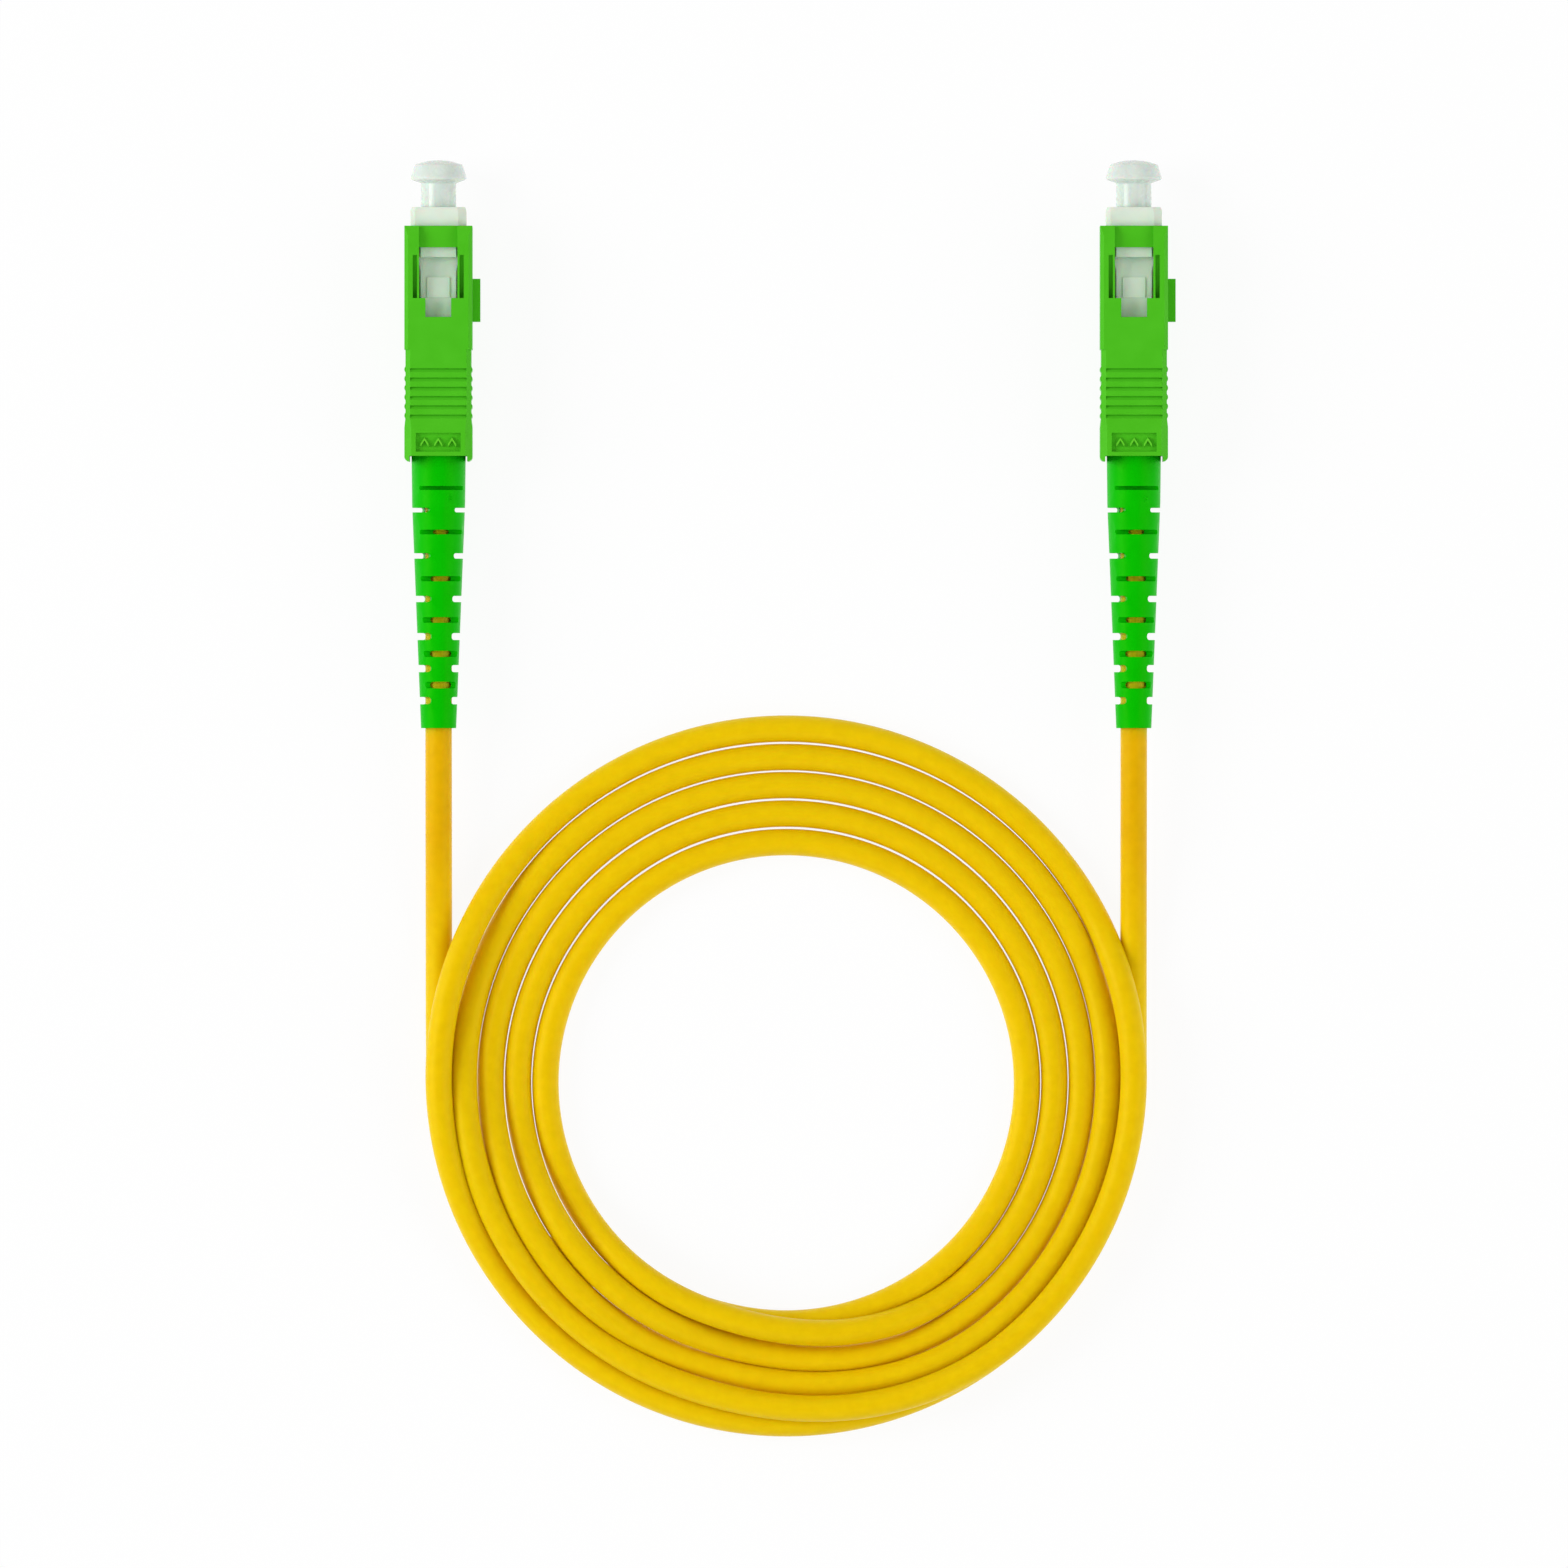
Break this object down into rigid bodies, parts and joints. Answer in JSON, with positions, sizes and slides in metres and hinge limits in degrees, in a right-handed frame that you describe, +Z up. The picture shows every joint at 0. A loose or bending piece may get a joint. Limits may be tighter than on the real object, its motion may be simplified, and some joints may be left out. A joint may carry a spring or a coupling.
{
  "type": "fiber optic patch cord",
  "caption": "Coiled simplex fibre optic cord with a green push-pull angled-polish connector, slotted boot and translucent dust cap on each end.",
  "frame": {"origin": "on the surface that the cord lies on, midway between the two connectors' axes and midway along the connectors, from dust cap to boot end", "axes": "+Y along the connectors and out of their ferrules, +Z up from the surface, +X towards the connectors' keys"},
  "size_m": [0.0842, 0.1394, 0.009],
  "materials": {
    "green_plastic": "satin",
    "green_rubber": "satin",
    "white_plastic": "satin",
    "cap_plastic": "satin",
    "zirconia": "polished",
    "nickel": "satin",
    "spring_steel": "satin",
    "crimp_metal": "satin",
    "aramid": "matte",
    "fibre_glass": "gloss",
    "buffer_white": "satin",
    "yellow_jacket": "satin"
  },
  "bodies": {
    "root": {"cord_coil": "yellow_jacket", "plug_frame_a": "white_plastic", "ferrule_spring_a": "spring_steel", "rear_body_a": "nickel", "aramid_yarn_a": "aramid", "crimp_sleeve_a": "crimp_metal", "buffered_fibre_a": "buffer_white", "boot_a": "green_rubber", "cord_leg_a": "yellow_jacket", "plug_frame_b": "white_plastic", "ferrule_spring_b": "spring_steel", "rear_body_b": "nickel", "aramid_yarn_b": "aramid", "crimp_sleeve_b": "crimp_metal", "buffered_fibre_b": "buffer_white", "boot_b": "green_rubber", "cord_leg_b": "yellow_jacket"},
    "grip_a": {"grip_housing_a": "green_plastic"},
    "ferrule_a": {"ferrule_a": "zirconia", "ferrule_flange_a": "nickel", "glass_fibre_a": "fibre_glass"},
    "cap_a": {"dust_cap_a": "cap_plastic"},
    "grip_b": {"grip_housing_b": "green_plastic"},
    "ferrule_b": {"ferrule_b": "zirconia", "ferrule_flange_b": "nickel", "glass_fibre_b": "fibre_glass"},
    "cap_b": {"dust_cap_b": "cap_plastic"}
  },
  "joints": [
    {"name": "grip_slide_a", "type": "slide", "parent": "root", "child": "grip_a", "axis": [0, -1, 0], "range_m": [0, 0.0022]},
    {"name": "ferrule_float_a", "type": "slide", "parent": "root", "child": "ferrule_a", "axis": [0, -1, 0], "range_m": [0, 0.001], "stiffness_N_per_m": 3000, "deforming": ["ferrule_spring_a", "buffered_fibre_a"]},
    {"name": "cap_pull_a", "type": "slide", "parent": "ferrule_a", "child": "cap_a", "axis": [0, 1, 0], "range_m": [0, 0.016]},
    {"name": "grip_slide_b", "type": "slide", "parent": "root", "child": "grip_b", "axis": [0, -1, 0], "range_m": [0, 0.0022]},
    {"name": "ferrule_float_b", "type": "slide", "parent": "root", "child": "ferrule_b", "axis": [0, -1, 0], "range_m": [0, 0.001], "stiffness_N_per_m": 3000, "deforming": ["ferrule_spring_b", "buffered_fibre_b"]},
    {"name": "cap_pull_b", "type": "slide", "parent": "ferrule_b", "child": "cap_b", "axis": [0, 1, 0], "range_m": [0, 0.016]}
  ]
}
